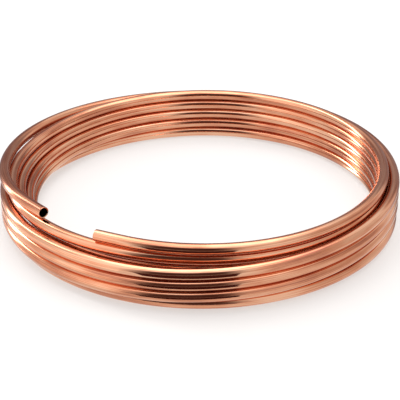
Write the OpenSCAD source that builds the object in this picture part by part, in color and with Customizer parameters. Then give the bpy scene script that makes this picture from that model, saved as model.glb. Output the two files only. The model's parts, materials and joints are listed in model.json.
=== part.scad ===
// Coil of soft copper tube, wound in two columns with both ends left open.
// Millimetres. The coil's axis is Z, the lowest turns lie on z = 0, and angles
// run anticlockwise seen from above, from +X. The tube starts at the upper end,
// falls down the inner column, steps outward underneath and climbs the outer
// column to the tail. The packed turns are one turned body. The top turn of
// each column is drawn as the tube itself, because its end lies free.

/* [Tube] */
// Outside diameter of the tube
tube_od = 10; // [6:0.5:15]
// Thickness of the tube's wall
tube_wall = 0.7; // [0.5:0.1:1.2]

/* [Coil] */
// Inside diameter of the wound coil
coil_id = 322; // [240:1:480]
// Whole turns packed in the inner column, under its top turn
inner_turns = 4; // [3:1:8]
// Whole turns packed in the outer column, under its top turn
outer_turns = 3; // [2:1:4]
// Rise from one turn to the next, as a share of the tube's diameter
pitch_ratio = 1.01; // [1.01:0.01:1.1]
// Distance between the two columns' centres, as a share of the tube's diameter
column_step_ratio = 1.2; // [1.1:0.05:1.5]

/* [Free ends] */
// Direction, round the coil, at which the upper end's straight length joins its turn
upper_start = 246; // [236:1:266]
// Direction, round the coil, at which the tail leaves the outer column's curve
tail_start = 184; // [174:1:194]
// Least height of the tail above the inner column's packed turns, in turns
tail_over_column = 0.7; // [0.7:0.1:3]
// Radius to which the tail is bent inward, as a share of the outer column's
tail_bend_ratio = 0.76; // [0.68:0.01:0.9]
// Angle through which the tail is bent
tail_bend_sweep = 37; // [25:1:45]
// Straight length of tube at each open end
straight_end = 20; // [12:1:30]
// Angle, round the coil, that the bore runs on past the upper end's straight length
bore_sweep = 20; // [10:1:40]

/* [Hidden] */
$fn = 96;
tube_r = tube_od / 2;
bore_d = tube_od - 2 * tube_wall;
pitch = tube_od * pitch_ratio;
inner_r = coil_id / 2 + tube_r;
outer_r = inner_r + tube_od * column_step_ratio;
web = tube_od * 0.45;
// Levels count turns above the lowest one. The outer column's second turn nests above the first.
nest_rise = 0.65;
upper_level = inner_turns + 0.6;
upper_low_level = inner_turns + 0.03;
outer_top_level = outer_turns - 2 + nest_rise;
outer_free_level = outer_top_level + 1.05;
tail_half_level = outer_free_level + 0.4;
// The tail clears the inner column, and climbs at least this far above the start of its own turn
least_climb = 1.9;
tail_level = max(inner_turns + tail_over_column, outer_free_level + least_climb);
tail_bend_r = outer_r * tail_bend_ratio;
upper_mid_level = (upper_level + upper_low_level) / 2;
// Where two stretches of tube meet, one is thinner by "slip" and laps into the other by this angle
slip = 0.1;
lap_angle = 0.4;
// The inner top turn runs round to this angle past the tail's start, still clear of its bend
upper_past_tail = 17;
upper_sweep = 360 + tail_start + upper_past_tail - upper_start;
// The webs under the top turns stop this angle short of their ends
web_inset = 3;
mouth_overcut = 0.5;

function level_z(level) = tube_r + level * pitch;

// Up to half a turn, from one level towards the level it would reach in a half turn
module sloping_turn(r, start, from_level, to_level, d, sweep = 180, lap = 0) {
    rise = (to_level - from_level) * pitch;
    tilt = atan(rise / (2 * r));
    translate([0, 0, level_z(from_level) + rise / 2])
        rotate([0, 0, start])
            rotate([0, tilt, 0])
                rotate_extrude(angle = sweep + 2 * lap, start = -lap)
                    translate([r / cos(tilt), 0])
                        circle(d = d);
}

// An upright web, curved with the coil, from one level to another
module curved_web(r, start, sweep, from_level, to_level) {
    rotate([0, 0, start])
        rotate_extrude(angle = sweep)
            translate([r - web / 2, level_z(from_level)])
                square([web, (to_level - from_level) * pitch]);
}

// The packed turns, turned in one piece with the core that closes the columns
module packed_turns() {
    rotate_extrude() {
        for (level = [0 : inner_turns - 1])
            translate([inner_r, level_z(level)]) circle(d = tube_od);
        translate([outer_r, level_z(0)]) circle(d = tube_od);
        for (turn = [2 : outer_turns])
            translate([outer_r, level_z(turn - 2 + nest_rise)]) circle(d = tube_od);
        translate([inner_r - web / 2, level_z(0)])
            square([web, (inner_turns - 1) * pitch]);
        translate([inner_r, level_z(0)])
            square([outer_r - inner_r + web / 2, outer_top_level * pitch]);
    }
}

// The first half of the inner column's top turn, at any diameter, lapped into what it meets
module upper_first_half(d, sweep = 180) {
    sloping_turn(inner_r, upper_start, upper_level, upper_mid_level, d, sweep, lap_angle);
}

// The inner column's top turn, which falls as it runs round, on its web
module upper_turn() {
    upper_first_half(tube_od - slip);
    sloping_turn(inner_r, upper_start + 180, upper_mid_level, upper_low_level, tube_od, upper_sweep - 180);
    curved_web(inner_r, upper_start + web_inset, upper_sweep - 2 * web_inset,
               inner_turns - 1, upper_mid_level);
}

// The upper end's straight length, at any diameter, run on past the mouth by "extra"
module upper_end(d, extra = 0) {
    rotate([0, 0, upper_start])
        translate([inner_r, 0, level_z(upper_level)])
            rotate([90, 0, 0])
                cylinder(d = d, h = straight_end + extra);
}

// The outer column's top turn, which climbs as it runs round and leaves its web for the tail
module tail_turn() {
    sloping_turn(outer_r, tail_start, outer_free_level, tail_half_level, tube_od);
    sloping_turn(outer_r, tail_start + 180, tail_half_level, tail_level, tube_od - slip, 180, lap_angle);
    curved_web(outer_r, tail_start + web_inset, 180 - 2 * web_inset,
               outer_top_level, (outer_free_level + tail_half_level) / 2);
}

// The tail's inward bend at one diameter, and its straight end at another, run on by "extra"
module tail_end(bend_d, straight_d, extra = 0) {
    rotate([0, 0, tail_start])
        translate([outer_r - tail_bend_r, 0, level_z(tail_level)])
            rotate([0, 0, tail_bend_sweep]) {
                rotate_extrude(angle = tail_bend_sweep, start = -tail_bend_sweep)
                    translate([tail_bend_r, 0]) circle(d = bend_d);
                translate([tail_bend_r, 0, 0])
                    rotate([-90, 0, 0])
                        cylinder(d = straight_d, h = straight_end + extra);
            }
}

module copper_tube() {
    color([0.80, 0.48, 0.34])
        difference() {
            union() {
                packed_turns();
                upper_turn();
                upper_end(tube_od);
                tail_turn();
                tail_end(tube_od, tube_od);
            }
            upper_end(bore_d, mouth_overcut);
            upper_first_half(bore_d - slip, bore_sweep);
            tail_end(bore_d, bore_d, mouth_overcut);
        }
}

copper_tube();
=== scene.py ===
import json
import math

import bpy
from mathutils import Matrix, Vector


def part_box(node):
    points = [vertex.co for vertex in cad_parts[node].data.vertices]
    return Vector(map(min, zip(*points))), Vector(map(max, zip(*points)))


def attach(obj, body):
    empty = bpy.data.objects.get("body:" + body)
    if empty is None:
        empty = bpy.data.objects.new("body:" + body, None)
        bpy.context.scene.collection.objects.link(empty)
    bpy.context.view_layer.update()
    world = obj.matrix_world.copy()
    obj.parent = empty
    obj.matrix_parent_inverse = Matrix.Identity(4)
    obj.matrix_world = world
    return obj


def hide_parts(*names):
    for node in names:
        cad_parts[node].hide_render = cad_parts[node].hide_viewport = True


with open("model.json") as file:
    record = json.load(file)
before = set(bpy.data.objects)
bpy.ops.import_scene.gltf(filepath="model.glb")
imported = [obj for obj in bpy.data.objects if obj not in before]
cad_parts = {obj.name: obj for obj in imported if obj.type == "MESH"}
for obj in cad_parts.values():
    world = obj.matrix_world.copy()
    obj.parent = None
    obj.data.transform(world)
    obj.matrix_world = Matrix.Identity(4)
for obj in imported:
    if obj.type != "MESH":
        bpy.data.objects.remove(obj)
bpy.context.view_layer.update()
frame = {"record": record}

bl_info = {
    "name": "Copper Tube Coil",
    "version": (1, 0, 0),
    "blender": (4, 5, 0),
    "location": "3D View > Sidebar > Tube Coil",
    "description": "Winds a two-layer coil of bright drawn copper tube and sets it in a pale studio",
    "category": "Object",
}

MM = 0.001
FULL_TURN = math.tau

# The body that the tube rides on, and the CAD node that it stands for
BODY = "root"
CAD_NODE = "copper_tube"

# Rings of faces at each open end, past the evenly spaced ones, that make the rolled-in lip
LIP_RINGS = 2
# Edges sharper than this stay crisp on the smooth-shaded tube
CRISP_EDGE = math.radians(50)

# The first turn springs out as it comes round to the upper end. Its middle is given as turn from that end.
# The turns below follow it out, less and less over the fade.
SPRING_OUT_MIDDLE = math.radians(316)
SPRING_OUT_HALF_SWEEP = math.radians(68)
SPRING_OUT_FADE = math.radians(820)
# Turns over which the inner layer draws in and leans. Below them it keeps the radius and lean it has reached.
SETTLED_TURNS = 3.4
# Stretches given as turn from where the outer layer starts to climb: from the inner layer out to the floor
# turn, from there out to the outer layer, and where the early step grows to its full height
CROSSING_SWEEP = (math.radians(-217), math.radians(-59))
SETTLING_SWEEP = (math.radians(1), math.radians(101))
EARLY_STEP_SWEEP = (math.radians(101), math.radians(301))
# The early step is highest this far short of the right-hand side
EARLY_STEP_LEAD = math.radians(10)

# How many times longer along the tube than round it each pattern of the surface is
LINE_STRETCH = 200.0
FLUTE_STRETCH = 60.0
CLOUD_STRETCH = 6.0
# How strongly the flutes and the lines bend a reflection
FLUTE_RELIEF = 0.5
LINE_RELIEF = 0.12
# Shares of the two patterns in the mottle, and the mottle at which each tint of copper is at its purest
LINE_SHARE = 0.45
CLOUD_SHARE = 0.55
OXIDE_AT = 0.38
WARM_AT = 0.47
CLEAN_AT = 0.58
# The mottle at which the surface is dullest, and the mottle at which it is most polished
DULLEST_AT = 0.35
POLISHED_AT = 0.65

# The light tent's soft panels, each hung over the ones before it. Bearing, rise above the table, their half
# widths and the soft edge are in degrees as seen from the coil. Bearings run from +X towards +Y.
PANELS = (
    # The lit table, all round
    dict(bearing=90, half_width=180, rise=-50, half_rise=46, soft_edge=8, colour="#FFFFFF", strength=0.85),
    # The unlit opening that the camera looks through
    dict(bearing=262, half_width=28, rise=30, half_rise=33, soft_edge=20, colour="#FFC0B8", strength=0.07),
    # A dim cloth behind, which the turns at both sides mirror
    dict(bearing=90, half_width=45, rise=4, half_rise=27, soft_edge=14, colour="#FFF0F6", strength=0.3),
    # A grey wall at the right
    dict(bearing=0, half_width=30, rise=20, half_rise=30, soft_edge=30, colour="#FFF6F0", strength=0.66),
    # A bright window at the left, which lights the turns at the left front
    dict(bearing=205, half_width=20, rise=30, half_rise=35, soft_edge=14, colour="#FFFFFF", strength=1.25),
    # A narrow strip lamp at the left back, whose sparkle crosses the inner turns at the right back
    dict(bearing=147, half_width=4, rise=20, half_rise=46, soft_edge=8, colour="#FFFFFF", strength=9.0),
    # The tent's bright top
    dict(bearing=90, half_width=180, rise=90, half_rise=36, soft_edge=20, colour="#FFF8FA", strength=1.6),
)
# Cards that lie on the table in front of the coil and to its left, as corners in metres
DARK_CARD = ((-0.065, -0.20), (0.038, -0.20), (0.44, -1.25), (-0.88, -1.25))
BOUNCE_CARD = (
    (-0.10, -0.20), (-0.92, -1.25), (-1.30, -0.60), (-1.30, 0.30), (-0.20, 0.02), (-0.17, -0.13))
CARD_HEIGHT = 1 * MM
# Width in millimetres of the film that the camera's lens and shifts are given for
FILM_WIDTH = 36.0


# ---------------------------------------------------------------- what the frame says

def mount_row(name):
    """One open tube end as the frame's record has it."""
    for row in frame["record"]["mounts"]:
        if row["name"] == name:
            return row
    raise RuntimeError("the record has no mount called " + name)


def tube_end(name):
    """Where the wound tube turns into its straight end, the way that end points, and its length."""
    row = mount_row(name)
    facing = Vector(row["axis"]).normalized()
    length = row["dims"]["length_mm"] * MM
    root = Vector(row["pos_m"]) - facing * (length / 2)
    return root, facing, length


def bearing_of(point):
    """The angle round the coil's axis, from +X towards +Y, in 0 to a full turn."""
    return math.atan2(point.y, point.x) % FULL_TURN


TUBE_RADIUS = mount_row("tail_outside")["dims"]["r_mm"] * MM
BORE_RADIUS = mount_row("tail_bore")["dims"]["r_mm"] * MM
COIL_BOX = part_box(CAD_NODE)
COIL_MIDDLE = Vector((0, 0, COIL_BOX[1].z / 2))
OUTER_TURN_RADIUS = COIL_BOX[1].x - TUBE_RADIUS


# ---------------------------------------------------------------- sizes and colours

class TubeCoilSizes(bpy.types.PropertyGroup):
    """Sizes of the tube and of its winding that a user would change."""

    outside_diameter: bpy.props.FloatProperty(
        name="Tube diameter", description="Outside diameter of the tube",
        default=2 * TUBE_RADIUS, unit="LENGTH")
    wall: bpy.props.FloatProperty(
        name="Wall", description="Wall thickness of the tube",
        default=TUBE_RADIUS - BORE_RADIUS, unit="LENGTH")
    pitch: bpy.props.FloatProperty(
        name="Pitch", description="Rise from one turn to the next in a layer",
        default=2 * TUBE_RADIUS * 1.01, unit="LENGTH")
    turns_between_ends: bpy.props.IntProperty(
        name="Whole turns", description="Whole turns wound between the bearings of the two ends",
        default=9)
    inner_draw_in: bpy.props.FloatProperty(
        name="Inner draw-in", description="How much smaller each inner turn is than the one above it",
        default=1.45 * MM, unit="LENGTH")
    inner_lean: bpy.props.FloatVectorProperty(
        name="Inner lean", description="How far each inner turn lies to the right and back of the last",
        default=(1.1 * MM, 1.2 * MM), size=2, unit="LENGTH")
    inner_oval: bpy.props.FloatProperty(
        name="Inner oval", description="How much the inner layer is squeezed from the left and right",
        default=1.0 * MM, unit="LENGTH")
    spring_out: bpy.props.FloatProperty(
        name="Spring out", description="How far the first turn springs out on its way to the upper end",
        default=10.0 * MM, unit="LENGTH")
    floor_radius: bpy.props.FloatProperty(
        name="Floor turn radius", description="Radius of the lowest turn, between the two layers",
        default=OUTER_TURN_RADIUS - 6.0 * MM, unit="LENGTH")
    climb_start: bpy.props.FloatProperty(
        name="Climb start", description="Turn from the upper end to where the outer layer starts to climb",
        default=math.radians(1833), subtype="ANGLE")
    outer_layer_radius: bpy.props.FloatProperty(
        name="Outer layer radius", description="Radius of the outer layer to the middle of its tube",
        default=OUTER_TURN_RADIUS - 0.65 * MM, unit="LENGTH")
    outer_layer_shift: bpy.props.FloatProperty(
        name="Outer layer shift", description="How far the outer layer lies to the left of the axis",
        default=1.85 * MM, unit="LENGTH")
    outer_oval: bpy.props.FloatProperty(
        name="Outer oval", description="How much the outer layer is squeezed from the left and right",
        default=1.5 * MM, unit="LENGTH")
    early_step: bpy.props.FloatProperty(
        name="Early step", description="Share of a pitch by which the outer turns ride high at the right",
        default=0.38, subtype="FACTOR")
    tail_lift_sweep: bpy.props.FloatProperty(
        name="Tail lift sweep", description="Turn over which the loose tail springs up off its layer",
        default=math.radians(115), subtype="ANGLE")
    lip: bpy.props.FloatProperty(
        name="Cut lip", description="Length of the edge that the tube cutter rolls in at each end",
        default=0.8 * MM, unit="LENGTH")
    lip_scale: bpy.props.FloatProperty(
        name="Lip size", description="Size of the rolled-in mouth beside the tube's own",
        default=0.95, subtype="FACTOR")
    sides: bpy.props.IntProperty(
        name="Sides", description="Faces round the tube", default=28)
    stations: bpy.props.IntProperty(
        name="Stations", description="Rings of faces along the tube", default=1700)


class CopperFinish(bpy.types.PropertyGroup):
    """Colours and scales of the tube's bright drawn surface."""

    clean: bpy.props.StringProperty(
        name="Clean copper", description="Fresh drawn copper, as an sRGB hex value",
        default="#F3BA98")
    warm: bpy.props.StringProperty(
        name="Warm copper", description="Copper under a thin first oxide, as an sRGB hex value",
        default="#E09672")
    oxide: bpy.props.StringProperty(
        name="Oxide cloud", description="Copper where the first oxide is thickest, as an sRGB hex value",
        default="#B5735C")
    polished: bpy.props.FloatProperty(
        name="Polished", description="Roughness where the surface is cleanest",
        default=0.08, subtype="FACTOR")
    dulled: bpy.props.FloatProperty(
        name="Dulled", description="Roughness where the oxide is thickest",
        default=0.20, subtype="FACTOR")
    flute_spacing: bpy.props.FloatProperty(
        name="Flute spacing", description="Spacing round the tube of the die's broad shallow flutes",
        default=3.0 * MM, unit="LENGTH")
    flute_depth: bpy.props.FloatProperty(
        name="Flute depth", description="Depth of the die's broad shallow flutes",
        default=0.2 * MM, unit="LENGTH")
    line_spacing: bpy.props.FloatProperty(
        name="Draw line spacing", description="Spacing round the tube of the die's fine lines",
        default=0.6 * MM, unit="LENGTH")
    line_depth: bpy.props.FloatProperty(
        name="Draw line depth", description="Depth of the die's fine lines",
        default=0.05 * MM, unit="LENGTH")
    cloud_length: bpy.props.FloatProperty(
        name="Cloud length", description="Length along the tube of one patch of oxide tint",
        default=60 * MM, unit="LENGTH")


class StudioSizes(bpy.types.PropertyGroup):
    """Camera, lights and floor of the pale studio."""

    lens: bpy.props.FloatProperty(
        name="Lens", description="Focal length on a 36 mm wide film",
        default=113.7, unit="CAMERA")
    distance: bpy.props.FloatProperty(
        name="Camera distance", description="From the camera to the middle of the coil",
        default=1.165, unit="LENGTH")
    elevation: bpy.props.FloatProperty(
        name="Camera elevation", description="Height angle of the camera above the floor",
        default=math.radians(26.94), subtype="ANGLE")
    aim_height: bpy.props.FloatProperty(
        name="Aim height", description="Height on the coil's axis that the camera looks at",
        default=15.3 * MM, unit="LENGTH")
    shift_right: bpy.props.FloatProperty(
        name="Shift right", description="Sideways shift of the lens, as a share of the film",
        default=-0.0040)
    shift_up: bpy.props.FloatProperty(
        name="Shift up", description="Upward shift of the lens, as a share of the film",
        default=-0.0138)
    floor_size: bpy.props.FloatProperty(
        name="Floor size", description="Width of the square floor",
        default=12.0, unit="LENGTH")
    floor_colour: bpy.props.StringProperty(
        name="Floor colour", description="Pale matt floor, as an sRGB hex value",
        default="#F4F3F1")
    floor_shade: bpy.props.FloatProperty(
        name="Floor shade", description="Share of the floor's colour that it scatters from the lights",
        default=0.45, subtype="FACTOR")
    floor_glow: bpy.props.FloatProperty(
        name="Floor glow", description="Strength of the light that comes through the floor",
        default=0.6)
    wall_light: bpy.props.FloatProperty(
        name="Wall light", description="Brightness of the light tent's bare wall",
        default=0.88)
    top_light_height: bpy.props.FloatProperty(
        name="Top light height", description="Height of the soft light over the coil",
        default=1.6, unit="LENGTH")
    top_light_setback: bpy.props.FloatProperty(
        name="Top light setback", description="How far behind the coil's axis the soft light hangs",
        default=0.3, unit="LENGTH")
    top_light_size: bpy.props.FloatVectorProperty(
        name="Top light size", description="Width and depth of the soft light over the coil",
        default=(1.6, 1.2), size=2, unit="LENGTH")
    top_light_power: bpy.props.FloatProperty(
        name="Top light power", description="Power of the soft light over the coil",
        default=8.0, unit="POWER")


# ---------------------------------------------------------------- helpers

def linear(hex_value):
    """An sRGB hex colour as linear red, green, blue and a full alpha."""
    channels = [int(hex_value[i:i + 2], 16) / 255 for i in (1, 3, 5)]
    out = [c / 12.92 if c <= 0.04045 else ((c + 0.055) / 1.055) ** 2.4 for c in channels]
    return (*out, 1.0)


def add_node(tree, kind, settings=None, inputs=None):
    """Adds a node, sets its properties, and gives its inputs values or the outputs that feed them."""
    node = tree.nodes.new(kind)
    for name, value in (settings or {}).items():
        setattr(node, name, value)
    for key, value in (inputs or {}).items():
        if isinstance(value, bpy.types.NodeSocket):
            tree.links.new(value, node.inputs[key])
        else:
            node.inputs[key].default_value = value
    return node


def new_material(name):
    """An empty node material and the node that its surface goes to."""
    material = bpy.data.materials.new(name)
    material.use_nodes = True
    material.node_tree.nodes.clear()
    output = add_node(material.node_tree, "ShaderNodeOutputMaterial")
    return material, material.node_tree, output


# ---------------------------------------------------------------- the winding's named values

def outer_layer(sizes, angle):
    """Radius of the outer layer at an unrolled angle, and how fast it grows with the angle."""
    radius = (sizes.outer_layer_radius - sizes.outer_layer_shift * math.cos(angle)
              - sizes.outer_oval * math.cos(2 * angle))
    slope = sizes.outer_layer_shift * math.sin(angle) + 2 * sizes.outer_oval * math.sin(2 * angle)
    return radius, slope


def tail_drop(sizes, finish, tail_root, tail_facing):
    """How far the tail swings in off its layer, and over what turn, to meet its straight end squarely."""
    tail_radius = tail_root.to_2d().length
    radius, slope = outer_layer(sizes, finish)
    outward = Vector((math.cos(finish), math.sin(finish), 0))
    onward = Vector((-math.sin(finish), math.cos(finish), 0))
    end_slope = tail_radius * tail_facing.dot(outward) / tail_facing.dot(onward)
    drop = radius - tail_radius
    return drop, 2 * drop / (slope - end_slope)


def winding_inputs(sizes):
    """Named values of the tube's path, from the sizes and from the two open ends in the frame."""
    upper_root, upper_facing, end_length = tube_end("upper_bore")
    tail_root, tail_facing, _ = tube_end("tail_bore")
    tube_radius = sizes.outside_diameter / 2
    start = bearing_of(upper_root)
    finish = bearing_of(tail_root) + sizes.turns_between_ends * FULL_TURN
    start_level = (upper_root.z - tube_radius) / sizes.pitch
    finish_level = (tail_root.z - tube_radius) / sizes.pitch
    climb = start + sizes.climb_start
    drop, drop_sweep = tail_drop(sizes, finish, tail_root, tail_facing)
    return {
        "Tube Radius": tube_radius,
        "Stations": sizes.stations,
        "Sides": sizes.sides,
        "Pitch": sizes.pitch,
        "Start Angle": start,
        "Finish Angle": finish,
        "Start Level": start_level,
        "Floor Angle": start + start_level * FULL_TURN,
        "Climb Angle": climb,
        "Early Step": sizes.early_step,
        "Tail Lift": finish_level - (finish - climb) / FULL_TURN,
        "Tail Lift Sweep": sizes.tail_lift_sweep,
        "Inner Radius": upper_root.to_2d().length + sizes.inner_oval * math.cos(2 * start),
        "Inner Draw-in": sizes.inner_draw_in,
        "Inner Lean Right": sizes.inner_lean[0],
        "Inner Lean Back": sizes.inner_lean[1],
        "Inner Oval": sizes.inner_oval,
        "Spring Out": sizes.spring_out,
        "Floor Radius": sizes.floor_radius,
        "Outer Radius": sizes.outer_layer_radius,
        "Outer Shift": sizes.outer_layer_shift,
        "Outer Oval": sizes.outer_oval,
        "Tail Drop": drop,
        "Tail Drop Sweep": drop_sweep,
        "Upper Facing": upper_facing,
        "Tail Facing": tail_facing,
        "End Length": end_length,
        "Lip": sizes.lip,
        "Lip Scale": sizes.lip_scale,
    }


def socket_kind(value):
    """The node socket that holds a value of this type."""
    if isinstance(value, int):
        return "NodeSocketInt"
    if isinstance(value, float):
        return "NodeSocketFloat"
    return "NodeSocketVector"


# ---------------------------------------------------------------- the winding's nodes
# "given" holds the group's named inputs. An unrolled angle counts on through every turn.

def ring_numbers(tree, given):
    """Each ring's number, the last evenly spaced one, and how many rings it is past them at either end."""
    index = add_node(tree, "GeometryNodeInputIndex").outputs[0]
    last_even = add_node(tree, "ShaderNodeMath", {"operation": "SUBTRACT"},
                         {0: given["Stations"], 1: LIP_RINGS + 1}).outputs[0]
    before = add_node(tree, "ShaderNodeMath", {"operation": "SUBTRACT"}, {0: LIP_RINGS, 1: index})
    after = add_node(tree, "ShaderNodeMath", {"operation": "SUBTRACT"}, {0: index, 1: last_even})
    return index, last_even, before.outputs[0], after.outputs[0]


def station_angle(tree, given, index, last_even):
    """The unrolled angle of each ring, evenly spaced from one lip to the other."""
    straight = add_node(tree, "ShaderNodeMath", {"operation": "SUBTRACT"},
                        {0: given["End Length"], 1: given["Lip"]})
    sweep = add_node(tree, "ShaderNodeMath", {"operation": "DIVIDE"},
                     {0: straight.outputs[0], 1: given["Inner Radius"]})
    first = add_node(tree, "ShaderNodeMath", {"operation": "SUBTRACT"},
                     {0: given["Start Angle"], 1: sweep.outputs[0]})
    last = add_node(tree, "ShaderNodeMath", {"operation": "ADD"},
                    {0: given["Finish Angle"], 1: sweep.outputs[0]})
    angle = add_node(tree, "ShaderNodeMapRange", None, {
        "Value": index, "From Min": LIP_RINGS, "From Max": last_even,
        "To Min": first.outputs[0], "To Max": last.outputs[0]})
    return angle.outputs["Result"]


def wound_angle(tree, given, angle):
    """The angle held between the two straight ends, where the tube is wound."""
    high = add_node(tree, "ShaderNodeMath", {"operation": "MAXIMUM"}, {0: angle, 1: given["Start Angle"]})
    held = add_node(tree, "ShaderNodeMath", {"operation": "MINIMUM"},
                    {0: high.outputs[0], 1: given["Finish Angle"]})
    return held.outputs[0]


def past(tree, given, name, angle, share=1.0):
    """How far an unrolled angle is past a named one, times a share, and never below nothing."""
    gone = add_node(tree, "ShaderNodeMath", {"operation": "SUBTRACT"}, {0: angle, 1: given[name]})
    scaled = add_node(tree, "ShaderNodeMath", {"operation": "MULTIPLY"}, {0: gone.outputs[0], 1: share})
    held = add_node(tree, "ShaderNodeMath", {"operation": "MAXIMUM"}, {0: scaled.outputs[0], 1: 0.0})
    return held.outputs[0]


def early_step(tree, given, angle):
    """The outer turns step up onto the ones below them at the right, a little before the climb is due."""
    turned = add_node(tree, "ShaderNodeMath", {"operation": "ADD"}, {0: angle, 1: EARLY_STEP_LEAD})
    side = add_node(tree, "ShaderNodeMath", {"operation": "COSINE"}, {0: turned.outputs[0]})
    right = add_node(tree, "ShaderNodeMath", {"operation": "MAXIMUM"}, {0: side.outputs[0], 1: 0.0})
    grown = add_node(tree, "ShaderNodeMapRange", None, {
        "Value": past(tree, given, "Climb Angle", angle),
        "From Min": EARLY_STEP_SWEEP[0], "From Max": EARLY_STEP_SWEEP[1],
        "To Min": 0.0, "To Max": given["Early Step"]})
    step = add_node(tree, "ShaderNodeMath", {"operation": "MULTIPLY"},
                    {0: right.outputs[0], 1: grown.outputs["Result"]})
    return step.outputs[0]


def tail_lift(tree, given, angle):
    """How far the loose tail springs up off its layer."""
    starts = add_node(tree, "ShaderNodeMath", {"operation": "SUBTRACT"},
                      {0: given["Finish Angle"], 1: given["Tail Lift Sweep"]})
    lift = add_node(tree, "ShaderNodeMapRange", {"interpolation_type": "SMOOTHSTEP"}, {
        "Value": angle, "From Min": starts.outputs[0], "From Max": given["Finish Angle"],
        "To Min": 0.0, "To Max": given["Tail Lift"]})
    return lift.outputs["Result"]


def level(tree, given, angle):
    """How many pitches above the floor the tube lies at an unrolled angle."""
    inner = add_node(tree, "ShaderNodeMapRange", None, {
        "Value": angle, "From Min": given["Start Angle"], "From Max": given["Floor Angle"],
        "To Min": given["Start Level"], "To Max": 0.0})
    climb = past(tree, given, "Climb Angle", angle, 1 / FULL_TURN)
    total = inner.outputs["Result"]
    for rise in (climb, early_step(tree, given, angle), tail_lift(tree, given, angle)):
        total = add_node(tree, "ShaderNodeMath", {"operation": "ADD"}, {0: total, 1: rise}).outputs[0]
    return total


def swayed(tree, radius, outward=(), inward=()):
    """A radius with each outward factor added and each inward one taken away, times its own reach."""
    for factor, reach in outward:
        radius = add_node(tree, "ShaderNodeMath", {"operation": "MULTIPLY_ADD"},
                          {0: factor, 1: reach, 2: radius}).outputs[0]
    for factor, reach in inward:
        gone = add_node(tree, "ShaderNodeMath", {"operation": "MULTIPLY"}, {0: factor, 1: reach})
        radius = add_node(tree, "ShaderNodeMath", {"operation": "SUBTRACT"},
                          {0: radius, 1: gone.outputs[0]}).outputs[0]
    return radius


def sprung_radius(tree, given, angle):
    """Radius of the inner layer with its spring-out, before its turns draw in and lean."""
    middle = add_node(tree, "ShaderNodeMath", {"operation": "ADD"},
                      {0: given["Start Angle"], 1: SPRING_OUT_MIDDLE})
    away = add_node(tree, "ShaderNodeMath", {"operation": "SUBTRACT"}, {0: angle, 1: middle.outputs[0]})
    # The triangle wave brings the same place round again in the turns below.
    off = add_node(tree, "ShaderNodeMath", {"operation": "PINGPONG"}, {0: away.outputs[0], 1: math.pi})
    begun = add_node(tree, "ShaderNodeMath", {"operation": "GREATER_THAN"},
                     {0: away.outputs[0], 1: -SPRING_OUT_HALF_SWEEP})
    fading = add_node(tree, "ShaderNodeMapRange", None, {
        "Value": away.outputs[0], "From Min": 0.0, "From Max": SPRING_OUT_FADE,
        "To Min": given["Spring Out"], "To Max": 0.0})
    sprung = add_node(tree, "ShaderNodeMapRange", {"interpolation_type": "SMOOTHSTEP"}, {
        "Value": off.outputs[0], "From Min": SPRING_OUT_HALF_SWEEP, "From Max": 0.0,
        "To Min": 0.0, "To Max": fading.outputs["Result"]})
    return swayed(tree, given["Inner Radius"], outward=[(begun.outputs[0], sprung.outputs["Result"])])


def inner_radius(tree, given, angle, cosine, sine, oval):
    """Radius of the inner layer, whose turns shrink and lean back to the right on the way down."""
    turns = past(tree, given, "Start Angle", angle, 1 / FULL_TURN)
    settled = add_node(tree, "ShaderNodeMath", {"operation": "MINIMUM"}, {0: turns, 1: SETTLED_TURNS})
    right = add_node(tree, "ShaderNodeMath", {"operation": "MULTIPLY"}, {0: settled.outputs[0], 1: cosine})
    back = add_node(tree, "ShaderNodeMath", {"operation": "MULTIPLY"}, {0: settled.outputs[0], 1: sine})
    return swayed(
        tree, sprung_radius(tree, given, angle),
        outward=[(right.outputs[0], given["Inner Lean Right"]), (back.outputs[0], given["Inner Lean Back"])],
        inward=[(settled.outputs[0], given["Inner Draw-in"]), (oval, given["Inner Oval"])])


def eased(tree, given, angle, sweep, low, high):
    """One radius that gives way smoothly to another over a sweep measured from the climb's start."""
    ends = [add_node(tree, "ShaderNodeMath", {"operation": "ADD"}, {0: given["Climb Angle"], 1: edge})
            for edge in sweep]
    blend = add_node(tree, "ShaderNodeMapRange", {"interpolation_type": "SMOOTHSTEP"}, {
        "Value": angle, "From Min": ends[0].outputs[0], "From Max": ends[1].outputs[0],
        "To Min": low, "To Max": high})
    return blend.outputs["Result"]


def tail_swing(tree, given, angle):
    """How much of its drop towards the axis the tail has made, growing as the square of the turn."""
    starts = add_node(tree, "ShaderNodeMath", {"operation": "SUBTRACT"},
                      {0: given["Finish Angle"], 1: given["Tail Drop Sweep"]})
    share = add_node(tree, "ShaderNodeMapRange", None, {
        "Value": angle, "From Min": starts.outputs[0], "From Max": given["Finish Angle"],
        "To Min": 0.0, "To Max": 1.0})
    squared = add_node(tree, "ShaderNodeMath", {"operation": "POWER"}, {0: share.outputs["Result"], 1: 2.0})
    return squared.outputs[0]


def layer_radius(tree, given, angle, cosine, sine):
    """Distance of the tube's middle from the coil's axis at an unrolled angle."""
    twice = add_node(tree, "ShaderNodeMath", {"operation": "MULTIPLY"}, {0: angle, 1: 2.0})
    oval = add_node(tree, "ShaderNodeMath", {"operation": "COSINE"}, {0: twice.outputs[0]}).outputs[0]
    inner = inner_radius(tree, given, angle, cosine, sine, oval)
    outer = swayed(tree, given["Outer Radius"],
                   inward=[(cosine, given["Outer Shift"]), (oval, given["Outer Oval"])])
    crossing = eased(tree, given, angle, CROSSING_SWEEP, inner, given["Floor Radius"])
    wound = eased(tree, given, angle, SETTLING_SWEEP, crossing, outer)
    return swayed(tree, wound, inward=[(tail_swing(tree, given, angle), given["Tail Drop"])])


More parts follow.
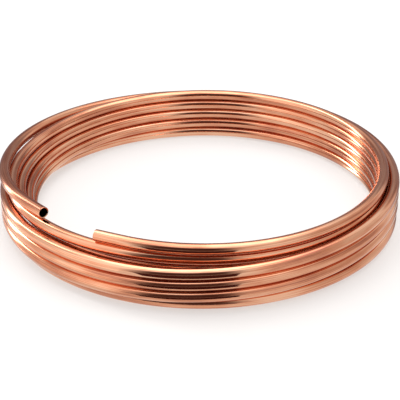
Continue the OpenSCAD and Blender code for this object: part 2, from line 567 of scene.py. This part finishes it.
def wound_place(tree, given, angle):
    """The middle of the tube at an unrolled angle."""
    cosine = add_node(tree, "ShaderNodeMath", {"operation": "COSINE"}, {0: angle}).outputs[0]
    sine = add_node(tree, "ShaderNodeMath", {"operation": "SINE"}, {0: angle}).outputs[0]
    radius = layer_radius(tree, given, angle, cosine, sine)
    x = add_node(tree, "ShaderNodeMath", {"operation": "MULTIPLY"}, {0: radius, 1: cosine})
    y = add_node(tree, "ShaderNodeMath", {"operation": "MULTIPLY"}, {0: radius, 1: sine})
    z = add_node(tree, "ShaderNodeMath", {"operation": "MULTIPLY_ADD"},
                 {0: level(tree, given, angle), 1: given["Pitch"], 2: given["Tube Radius"]})
    place = add_node(tree, "ShaderNodeCombineXYZ", None, {0: x.outputs[0], 1: y.outputs[0], 2: z.outputs[0]})
    return place.outputs[0]


def end_offset(tree, given, beyond, rings, facing):
    """How far a ring stands out along a straight end, from its angle and its lip rings past the winding."""
    along = add_node(tree, "ShaderNodeMath", {"operation": "MULTIPLY"}, {0: beyond, 1: given["Inner Radius"]})
    straight = add_node(tree, "ShaderNodeMath", {"operation": "MAXIMUM"}, {0: along.outputs[0], 1: 0.0})
    lip_rings = add_node(tree, "ShaderNodeMath", {"operation": "MAXIMUM"}, {0: rings, 1: 0.0})
    spacing = add_node(tree, "ShaderNodeMath", {"operation": "DIVIDE"}, {0: given["Lip"], 1: LIP_RINGS})
    reach = add_node(tree, "ShaderNodeMath", {"operation": "MULTIPLY_ADD"},
                     {0: lip_rings.outputs[0], 1: spacing.outputs[0], 2: straight.outputs[0]})
    offset = add_node(tree, "ShaderNodeVectorMath", {"operation": "SCALE"},
                      {0: given[facing], "Scale": reach.outputs[0]})
    return offset.outputs[0]


def tube_place(tree, given, angle, rings_before, rings_after):
    """The middle of the tube at every ring, from one open end to the other."""
    place = wound_place(tree, given, wound_angle(tree, given, angle))
    before = add_node(tree, "ShaderNodeMath", {"operation": "SUBTRACT"}, {0: given["Start Angle"], 1: angle})
    after = add_node(tree, "ShaderNodeMath", {"operation": "SUBTRACT"}, {0: angle, 1: given["Finish Angle"]})
    offsets = (
        end_offset(tree, given, before.outputs[0], rings_before, "Upper Facing"),
        end_offset(tree, given, after.outputs[0], rings_after, "Tail Facing"))
    for offset in offsets:
        place = add_node(tree, "ShaderNodeVectorMath", {"operation": "ADD"}, {0: place, 1: offset}).outputs[0]
    return place


def mouth_scale(tree, given, rings_before, rings_after):
    """Size of the tube at every ring: its own, but for the last ring at each end, which is rolled in."""
    rings = add_node(tree, "ShaderNodeMath", {"operation": "MAXIMUM"}, {0: rings_before, 1: rings_after})
    scale = add_node(tree, "ShaderNodeMapRange", None, {
        "Value": rings.outputs[0], "From Min": LIP_RINGS - 1, "From Max": LIP_RINGS,
        "To Min": 1.0, "To Max": given["Lip Scale"]})
    return scale.outputs["Result"]


def tube_line(tree, given, place, scale):
    """The tube's middle line, which carries the mouth's scale and the length along the tube."""
    line = add_node(tree, "GeometryNodeMeshLine", None, {"Count": given["Stations"]})
    bent = add_node(tree, "GeometryNodeSetPosition", None, {"Geometry": line.outputs[0], "Position": place})
    sized = add_node(tree, "GeometryNodeStoreNamedAttribute", {"data_type": "FLOAT", "domain": "POINT"},
                     {"Geometry": bent.outputs[0], "Name": "mouth scale", "Value": scale})
    curve = add_node(tree, "GeometryNodeMeshToCurve", None, {"Mesh": sized.outputs[0]})
    upright = add_node(tree, "GeometryNodeSetCurveNormal", {"mode": "Z_UP"}, {"Curve": curve.outputs[0]})
    along = add_node(tree, "GeometryNodeSplineParameter")
    marked = add_node(tree, "GeometryNodeStoreNamedAttribute", {"data_type": "FLOAT", "domain": "POINT"}, {
        "Geometry": upright.outputs[0], "Name": "along tube", "Value": along.outputs["Length"]})
    return marked.outputs[0]


def tube_skin(tree, given, line):
    """The tube's outside, which carries each point's place on the tube's round section."""
    ring = add_node(tree, "GeometryNodeCurvePrimitiveCircle", {"mode": "RADIUS"},
                    {"Resolution": given["Sides"], "Radius": given["Tube Radius"]})
    spot = add_node(tree, "GeometryNodeInputPosition")
    turned = add_node(
        tree, "GeometryNodeStoreNamedAttribute", {"data_type": "FLOAT_VECTOR", "domain": "POINT"},
        {"Geometry": ring.outputs[0], "Name": "round tube", "Value": spot.outputs[0]})
    scale = add_node(tree, "GeometryNodeInputNamedAttribute", {"data_type": "FLOAT"}, {"Name": "mouth scale"})
    tube = add_node(tree, "GeometryNodeCurveToMesh", None, {
        "Curve": line, "Profile Curve": turned.outputs[0], "Scale": scale.outputs[0]})
    smooth = add_node(tree, "GeometryNodeSetShadeSmooth", None, {"Geometry": tube.outputs[0]})
    return smooth.outputs[0]


def winding_tree(values):
    """The geometry nodes that wind one length of tube from its upper end to its tail."""
    tree = bpy.data.node_groups.new("wound tube", "GeometryNodeTree")
    for name, value in values.items():
        tree.interface.new_socket(name, in_out="INPUT", socket_type=socket_kind(value))
    tree.interface.new_socket("Finish", in_out="INPUT", socket_type="NodeSocketMaterial")
    tree.interface.new_socket("Geometry", in_out="OUTPUT", socket_type="NodeSocketGeometry")
    given = add_node(tree, "NodeGroupInput").outputs

    index, last_even, rings_before, rings_after = ring_numbers(tree, given)
    angle = station_angle(tree, given, index, last_even)
    place = tube_place(tree, given, angle, rings_before, rings_after)
    line = tube_line(tree, given, place, mouth_scale(tree, given, rings_before, rings_after))
    real = add_node(tree, "GeometryNodeRealizeInstances", None, {"Geometry": tube_skin(tree, given, line)})
    done = add_node(tree, "GeometryNodeSetMaterial", None,
                    {"Geometry": real.outputs[0], "Material": given["Finish"]})
    add_node(tree, "NodeGroupOutput", None, {0: done.outputs[0]})
    return tree


# ---------------------------------------------------------------- finishes

def drawn_out(tree, along, ring, stretch):
    """Coordinates on the tube's own surface, drawn out along it by a stretch."""
    slow = add_node(tree, "ShaderNodeMath", {"operation": "DIVIDE"}, {0: along, 1: stretch})
    place = add_node(tree, "ShaderNodeCombineXYZ", None,
                     {0: ring.outputs[0], 1: ring.outputs[1], 2: slow.outputs[0]})
    return place.outputs[0]


def copper_tint(tree, finish, mottle):
    """Colour of the copper: from the oxide's clouds, through warm copper, to clean metal."""
    tint = add_node(tree, "ShaderNodeValToRGB", None, {"Fac": mottle})
    stops = ((OXIDE_AT, finish.oxide), (WARM_AT, finish.warm), (CLEAN_AT, finish.clean))
    tint.color_ramp.elements.new(WARM_AT)
    for element, (position, colour) in zip(tint.color_ramp.elements, stops):
        element.position = position
        element.color = linear(colour)
    return tint.outputs["Color"]


def bright_drawn_copper(finish):
    """Bright drawn copper: a mirror-like metal with lines from the die and faint clouds of first oxide."""
    material, tree, output = new_material("bright drawn copper")
    along = add_node(tree, "ShaderNodeAttribute", {"attribute_name": "along tube"}).outputs["Fac"]
    around = add_node(tree, "ShaderNodeAttribute", {"attribute_name": "round tube"})
    ring = add_node(tree, "ShaderNodeSeparateXYZ", None, {0: around.outputs["Vector"]})
    # The die leaves fine lines along the tube. Real ones are too fine to show, so they are drawn coarser.
    lines = add_node(tree, "ShaderNodeTexNoise", {"noise_dimensions": "3D"}, {
        "Vector": drawn_out(tree, along, ring, LINE_STRETCH), "Scale": 1 / finish.line_spacing,
        "Detail": 3.0, "Roughness": 0.6})
    # The broad flutes come from the die's slow wear, and break a reflection into long streaks.
    flutes = add_node(tree, "ShaderNodeTexNoise", {"noise_dimensions": "3D"}, {
        "Vector": drawn_out(tree, along, ring, FLUTE_STRETCH), "Scale": 1 / finish.flute_spacing,
        "Detail": 1.0})
    # The clouds are the first oxide, which tints and dulls the metal in long patches.
    clouds = add_node(tree, "ShaderNodeTexNoise", {"noise_dimensions": "3D"}, {
        "Vector": drawn_out(tree, along, ring, CLOUD_STRETCH), "Scale": CLOUD_STRETCH / finish.cloud_length,
        "Detail": 4.0})
    streaks = add_node(tree, "ShaderNodeMath", {"operation": "MULTIPLY"},
                       {0: lines.outputs["Fac"], 1: LINE_SHARE})
    mottle = add_node(tree, "ShaderNodeMath", {"operation": "MULTIPLY_ADD"},
                      {0: clouds.outputs["Fac"], 1: CLOUD_SHARE, 2: streaks.outputs[0]})
    rough = add_node(tree, "ShaderNodeMapRange", None, {
        "Value": mottle.outputs[0], "From Min": DULLEST_AT, "From Max": POLISHED_AT,
        "To Min": finish.dulled, "To Max": finish.polished})
    broad = add_node(tree, "ShaderNodeBump", None, {
        "Height": flutes.outputs["Fac"], "Strength": FLUTE_RELIEF, "Distance": finish.flute_depth})
    fine = add_node(tree, "ShaderNodeBump", None, {
        "Height": lines.outputs["Fac"], "Strength": LINE_RELIEF, "Distance": finish.line_depth,
        "Normal": broad.outputs["Normal"]})
    surface = add_node(tree, "ShaderNodeBsdfPrincipled", None, {
        "Base Color": copper_tint(tree, finish, mottle.outputs[0]), "Metallic": 1.0,
        "Roughness": rough.outputs["Result"], "Normal": fine.outputs["Normal"]})
    tree.links.new(surface.outputs[0], output.inputs["Surface"])
    return material


def backlit_acrylic(studio):
    """Backlit white acrylic, as on a shooting table: glows a little, so shadows on it stay faint."""
    material, tree, output = new_material("backlit acrylic")
    colour = linear(studio.floor_colour)
    surface = add_node(tree, "ShaderNodeBsdfPrincipled", None, {
        "Base Color": [studio.floor_shade * c for c in colour[:3]] + [1.0], "Roughness": 0.85,
        "Emission Color": colour, "Emission Strength": studio.floor_glow})
    tree.links.new(surface.outputs[0], output.inputs["Surface"])
    return material


def dull_black_card():
    """Dull black card: soaks up the light, so that the metal mirrors a dark patch."""
    material, tree, output = new_material("dull black card")
    surface = add_node(tree, "ShaderNodeBsdfPrincipled", None,
                       {"Base Color": linear("#3A1C18"), "Roughness": 1.0, "Specular IOR Level": 0.0})
    tree.links.new(surface.outputs[0], output.inputs["Surface"])
    return material


def lit_white_card():
    """White card under its own lamp: a bright matt patch for the metal to mirror."""
    material, tree, output = new_material("lit white card")
    surface = add_node(tree, "ShaderNodeBsdfPrincipled", None, {
        "Base Color": linear("#808080"), "Roughness": 1.0, "Specular IOR Level": 0.0,
        "Emission Color": linear("#FFFAF4"), "Emission Strength": 0.85})
    tree.links.new(surface.outputs[0], output.inputs["Surface"])
    return material


# ---------------------------------------------------------------- the tube

class TUBECOIL_OT_wind_tube(bpy.types.Operator):
    """Wind the copper tube from its upper end, down the inner layer and up the outer one"""

    bl_idname = "tubecoil.wind_tube"
    bl_label = "Wind Tube"

    def execute(self, context):
        sizes = context.scene.tube_coil
        values = winding_inputs(sizes)
        tree = winding_tree(values)
        tube = bpy.data.objects.new("wound_tube", bpy.data.meshes.new("wound_tube"))
        context.scene.collection.objects.link(tube)
        winding = tube.modifiers.new("winding", "NODES")
        winding.node_group = tree
        values["Finish"] = bright_drawn_copper(context.scene.copper_finish)
        for item in tree.interface.items_tree:
            if item.in_out == "INPUT":
                winding[item.identifier] = values[item.name]
        wall = tube.modifiers.new("wall", "SOLIDIFY")
        wall.thickness = sizes.wall
        wall.offset = -1.0
        context.view_layer.update()
        mesh = bpy.data.meshes.new_from_object(tube.evaluated_get(context.evaluated_depsgraph_get()))
        if not mesh.polygons:
            raise RuntimeError("the winding gave no mesh")
        tube.modifiers.clear()
        tube.data = mesh
        mesh.name = "wound_tube"
        mesh.set_sharp_from_angle(angle=CRISP_EDGE)
        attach(tube, BODY)
        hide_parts(CAD_NODE)
        return {"FINISHED"}


# ---------------------------------------------------------------- the stage

def lay_flat(context, name, corners, height, material):
    """A flat level sheet, as part of the stage."""
    mesh = bpy.data.meshes.new(name)
    mesh.from_pydata([(x, y, height) for x, y in corners], [], [range(len(corners))])
    mesh.materials.append(material)
    sheet = bpy.data.objects.new(name, mesh)
    context.scene.collection.objects.link(sheet)
    return sheet


def add_floor(context, studio):
    """A plain pale square floor at the height the coil lies on."""
    half = studio.floor_size / 2
    corners = ((-half, -half), (half, -half), (half, half), (-half, half))
    floor = lay_flat(context, "floor", corners, 0.0, backlit_acrylic(studio))
    # The bright metal mirrors the light tent's lower half instead of the floor's own soft shading.
    floor.visible_glossy = False


def add_card(context, name, corners, material):
    """A card lying on the table, which only the metal's mirror surface sees."""
    card = lay_flat(context, name, corners, CARD_HEIGHT, material)
    card.visible_camera = False
    card.visible_diffuse = False
    card.visible_shadow = False


def aim(thing, place, target):
    """Puts a camera or light at a place and turns it to look at a target."""
    thing.location = place
    thing.rotation_euler = (Vector(target) - Vector(place)).to_track_quat("-Z", "Y").to_euler()


def add_top_light(context, studio):
    """One wide soft light over the coil, a little behind it."""
    light = bpy.data.lights.new("top light", "AREA")
    light.shape = "RECTANGLE"
    light.size = studio.top_light_size[0]
    light.size_y = studio.top_light_size[1]
    light.energy = studio.top_light_power
    lamp = bpy.data.objects.new("top light", light)
    context.scene.collection.objects.link(lamp)
    aim(lamp, (0, studio.top_light_setback, studio.top_light_height), COIL_MIDDLE)


def add_camera(context, studio):
    """The camera, in front of the coil and looking down on it."""
    data = bpy.data.cameras.new("camera")
    data.lens = studio.lens
    data.sensor_width = FILM_WIDTH
    data.shift_x = studio.shift_right
    data.shift_y = studio.shift_up
    camera = bpy.data.objects.new("camera", data)
    context.scene.collection.objects.link(camera)
    target = Vector((0, 0, studio.aim_height))
    back = Vector((0, -math.cos(studio.elevation), math.sin(studio.elevation)))
    aim(camera, target + back * studio.distance, target)
    context.scene.camera = camera


def edge_mask(tree, value, middle, reach, soft):
    """One within a reach of a middle value, fading to nothing over a soft edge, all given in degrees."""
    away = add_node(tree, "ShaderNodeMath", {"operation": "SUBTRACT"}, {0: value, 1: math.radians(middle)})
    # The triangle wave folds a bearing, so that a panel may lie across the direction where bearings start.
    off = add_node(tree, "ShaderNodeMath", {"operation": "PINGPONG"}, {0: away.outputs[0], 1: math.pi})
    mask = add_node(tree, "ShaderNodeMapRange", {"interpolation_type": "SMOOTHSTEP"}, {
        "Value": off.outputs[0], "To Min": 1.0, "To Max": 0.0,
        "From Min": math.radians(reach - soft / 2), "From Max": math.radians(reach + soft / 2)})
    return mask.outputs["Result"]


def hang_panel(tree, room, looked_at, bearing, half_width, rise, half_rise, soft_edge, colour, strength):
    """Hangs one soft panel in the room, over what hangs there already."""
    across = edge_mask(tree, looked_at["bearing"], bearing, half_width, soft_edge)
    up = edge_mask(tree, looked_at["rise"], rise, half_rise, soft_edge)
    cover = add_node(tree, "ShaderNodeMath", {"operation": "MULTIPLY"}, {0: across, 1: up})
    bright = Vector(linear(colour)[:3]) * strength
    # A Mix node set to vectors takes its two in sockets 4 and 5, and gives its result at 1.
    mixed = add_node(tree, "ShaderNodeMix", {"data_type": "VECTOR"}, {
        0: cover.outputs[0], 4: room, 5: bright})
    return mixed.outputs[1]


def add_room(context, studio):
    """A white light tent round the coil, with its soft panels."""
    world = bpy.data.worlds.new("light tent")
    world.use_nodes = True
    tree = world.node_tree
    tree.nodes.clear()
    direction = add_node(tree, "ShaderNodeTexCoord")
    axes = add_node(tree, "ShaderNodeSeparateXYZ", None, {0: direction.outputs["Generated"]})
    bearing = add_node(tree, "ShaderNodeMath", {"operation": "ARCTAN2"},
                       {0: axes.outputs["Y"], 1: axes.outputs["X"]})
    rise = add_node(tree, "ShaderNodeMath", {"operation": "ARCSINE"}, {0: axes.outputs["Z"]})
    looked_at = {"bearing": bearing.outputs[0], "rise": rise.outputs[0]}
    light = Vector((1, 1, 1)) * studio.wall_light
    for panel in PANELS:
        light = hang_panel(tree, light, looked_at, **panel)
    background = add_node(tree, "ShaderNodeBackground", None, {"Color": light})
    add_node(tree, "ShaderNodeOutputWorld", None, {"Surface": background.outputs[0]})
    context.scene.world = world


class TUBECOIL_OT_add_stage(bpy.types.Operator):
    """Add the pale floor, the cards, the light tent, the top light and the camera"""

    bl_idname = "tubecoil.add_stage"
    bl_label = "Add Stage"

    def execute(self, context):
        studio = context.scene.studio_sizes
        add_floor(context, studio)
        add_card(context, "dark_card", DARK_CARD, dull_black_card())
        add_card(context, "bounce_card", BOUNCE_CARD, lit_white_card())
        add_room(context, studio)
        add_top_light(context, studio)
        add_camera(context, studio)
        context.scene.view_settings.view_transform = "Standard"
        return {"FINISHED"}


# ---------------------------------------------------------------- panel and registration

class TUBECOIL_PT_panel(bpy.types.Panel):
    """Sizes, colours and building steps of the tube coil"""

    bl_idname = "TUBECOIL_PT_panel"
    bl_label = "Tube Coil"
    bl_space_type = "VIEW_3D"
    bl_region_type = "UI"
    bl_category = "Tube Coil"

    def draw(self, context):
        layout = self.layout
        for group in (context.scene.tube_coil, context.scene.copper_finish, context.scene.studio_sizes):
            for name in type(group).__annotations__:
                layout.prop(group, name)
        layout.operator(TUBECOIL_OT_wind_tube.bl_idname)
        layout.operator(TUBECOIL_OT_add_stage.bl_idname)


CLASSES = (
    TubeCoilSizes,
    CopperFinish,
    StudioSizes,
    TUBECOIL_OT_wind_tube,
    TUBECOIL_OT_add_stage,
    TUBECOIL_PT_panel,
)


def register():
    for cls in CLASSES:
        bpy.utils.register_class(cls)
    bpy.types.Scene.tube_coil = bpy.props.PointerProperty(type=TubeCoilSizes)
    bpy.types.Scene.copper_finish = bpy.props.PointerProperty(type=CopperFinish)
    bpy.types.Scene.studio_sizes = bpy.props.PointerProperty(type=StudioSizes)


def unregister():
    del bpy.types.Scene.studio_sizes
    del bpy.types.Scene.copper_finish
    del bpy.types.Scene.tube_coil
    for cls in reversed(CLASSES):
        bpy.utils.unregister_class(cls)


def main():
    register()
    bpy.ops.tubecoil.wind_tube()
    bpy.ops.tubecoil.add_stage()


if __name__ == "__main__":
    main()
